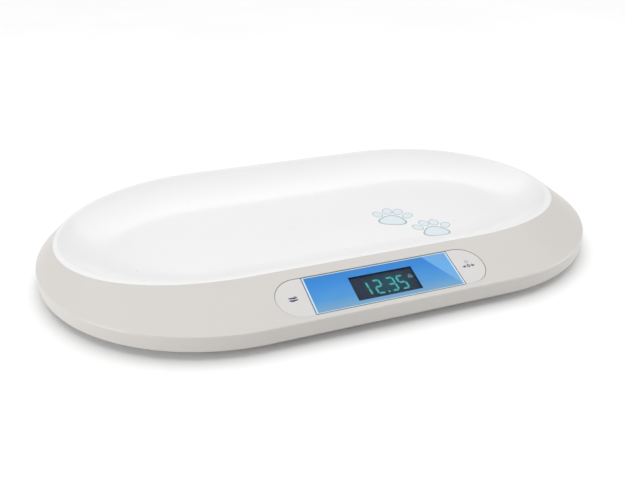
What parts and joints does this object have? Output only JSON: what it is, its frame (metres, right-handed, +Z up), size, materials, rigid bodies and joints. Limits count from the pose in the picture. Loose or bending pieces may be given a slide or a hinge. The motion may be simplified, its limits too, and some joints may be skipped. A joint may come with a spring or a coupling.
{
  "type": "animal weighing scale",
  "caption": "Low oval tray scale for small animals, with a dished white top, sloped front display with a key at each end, and rubber feet on load cells.",
  "frame": {"origin": "on the floor, under the middle of the casing", "axes": "+X along the length, to the right as seen from the display side; the display faces -Y; +Z up"},
  "size_m": [0.55, 0.332, 0.0396],
  "materials": {
    "white_shell": "satin gloss moulded ABS",
    "base_plastic": "fine moulded texture",
    "white_inner": "plain moulded",
    "white_keys": "satin",
    "clear_lens": "clear acrylic",
    "blue_film": "printed film, blue gradient",
    "lcd": "dark glass display",
    "light_guide": "milky light guide",
    "contact_rubber": "layered conductive rubber",
    "board": "green solder mask",
    "chip": "black moulding",
    "connector": "natural nylon",
    "steel": "zinc plated",
    "cell_steel": "ground spring steel",
    "gauge_foil": "polyimide foil gauge",
    "contact_metal": "nickel plated spring steel",
    "battery_can": "plain dark sleeve",
    "foot_plastic": "moulded ABS",
    "foot_rubber": "matt",
    "lead_cover": "PVC",
    "lead_red": "PVC",
    "lead_black": "PVC"
  },
  "bodies": {
    "root": {"tray_shell": "white_shell", "base_shell": "base_plastic", "case_screws": "steel", "display_lens": "clear_lens", "display_film": "blue_film", "lcd_glass": "lcd", "backlight": "light_guide", "contact_strip": "contact_rubber", "lcd_frame": "white_inner", "main_board": "board", "board_screws": "steel", "controller_chip": "chip", "battery_connector": "connector", "strain_gauges": "gauge_foil", "holder_screws": "steel", "battery_springs": "contact_metal", "battery_contacts": "contact_metal", "left_switch": "chip", "left_cell_connector": "connector", "right_switch": "chip", "right_cell_connector": "connector", "load_cell_1": "cell_steel", "cell_holder_1": "white_inner", "cell_lead_1": "lead_cover", "battery_1": "battery_can", "load_cell_2": "cell_steel", "cell_holder_2": "white_inner", "cell_lead_2": "lead_cover", "battery_2": "battery_can", "load_cell_3": "cell_steel", "cell_holder_3": "white_inner", "cell_lead_3": "lead_cover", "battery_3": "battery_can", "load_cell_4": "cell_steel", "cell_holder_4": "white_inner", "cell_lead_4": "lead_cover", "battery_4": "battery_can", "battery_lead_positive": "lead_red", "battery_lead_negative": "lead_black"},
    "left_key": {"left_key": "white_keys", "left_switch_plunger": "connector"},
    "right_key": {"right_key": "white_keys", "right_switch_plunger": "connector"},
    "foot_1": {"foot_1": "foot_plastic", "foot_pad_1": "foot_rubber"},
    "foot_2": {"foot_2": "foot_plastic", "foot_pad_2": "foot_rubber"},
    "foot_3": {"foot_3": "foot_plastic", "foot_pad_3": "foot_rubber"},
    "foot_4": {"foot_4": "foot_plastic", "foot_pad_4": "foot_rubber"},
    "battery_door": {"battery_door": "base_plastic"}
  },
  "joints": [
    {"name": "left_key_press", "type": "slide", "parent": "root", "child": "left_key", "axis": [0, 0.3204, -0.9473], "range_m": [0, 0.0008], "stiffness_N_per_m": 1500},
    {"name": "right_key_press", "type": "slide", "parent": "root", "child": "right_key", "axis": [0, 0.3204, -0.9473], "range_m": [0, 0.0008], "stiffness_N_per_m": 1500},
    {"name": "foot_1_load", "type": "slide", "parent": "root", "child": "foot_1", "axis": [0, 0, 1], "range_m": [0, 0.0006], "stiffness_N_per_m": 1500, "deforming": ["load_cell_1"]},
    {"name": "foot_2_load", "type": "slide", "parent": "root", "child": "foot_2", "axis": [0, 0, 1], "range_m": [0, 0.0006], "stiffness_N_per_m": 1500, "deforming": ["load_cell_2"]},
    {"name": "foot_3_load", "type": "slide", "parent": "root", "child": "foot_3", "axis": [0, 0, 1], "range_m": [0, 0.0006], "stiffness_N_per_m": 1500, "deforming": ["load_cell_3"]},
    {"name": "foot_4_load", "type": "slide", "parent": "root", "child": "foot_4", "axis": [0, 0, 1], "range_m": [0, 0.0006], "stiffness_N_per_m": 1500, "deforming": ["load_cell_4"]},
    {"name": "battery_door_hinge", "type": "hinge", "parent": "root", "child": "battery_door", "pos_m": [0, -0.09085, 0.00935], "axis": [1, 0, 0], "range_deg": [0, 100]}
  ]
}
